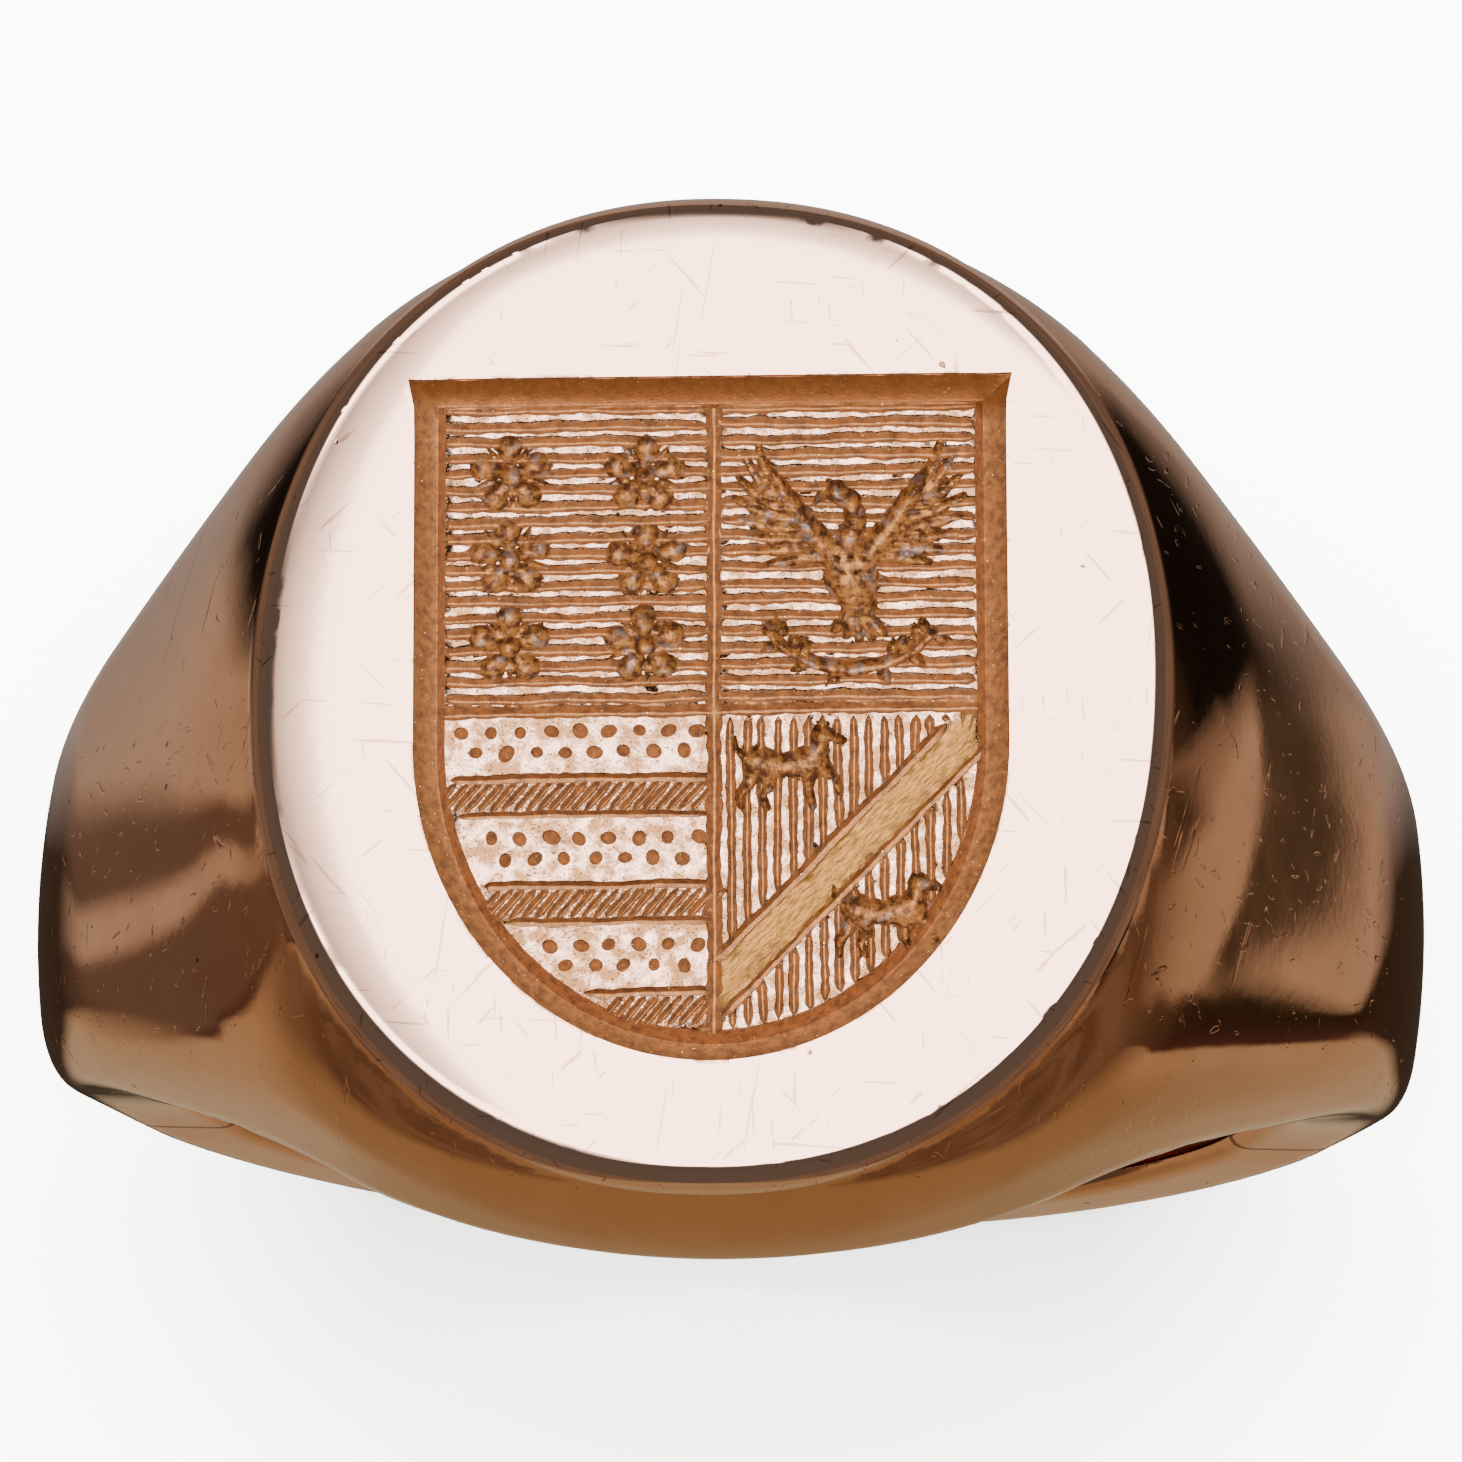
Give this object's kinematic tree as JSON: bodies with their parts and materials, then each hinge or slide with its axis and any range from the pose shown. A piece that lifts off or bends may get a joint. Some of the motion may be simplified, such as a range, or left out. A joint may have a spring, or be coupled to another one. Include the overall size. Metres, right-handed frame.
{
  "type": "signet ring",
  "caption": "Finger ring with a flat oval table engraved with a quartered shield, tapering shoulders and a narrow back.",
  "frame": {"origin": "centre of the finger hole, midway along its axis", "axes": "+Z out through the table, +Y along the finger hole towards the top of the shield, +X across the shield to the right"},
  "size_m": [0.0228, 0.0174, 0.0233],
  "materials": {
    "face_plate": "polished rose gold, finely scratched",
    "band": "polished rose gold with tarnish",
    "solder": "polished gold solder"
  },
  "bodies": {
    "root": {"face_plate": "face_plate", "face_solder": "solder", "head": "band", "shank": "band", "shank_solder_left": "solder", "shank_solder_right": "solder"}
  },
  "joints": []
}
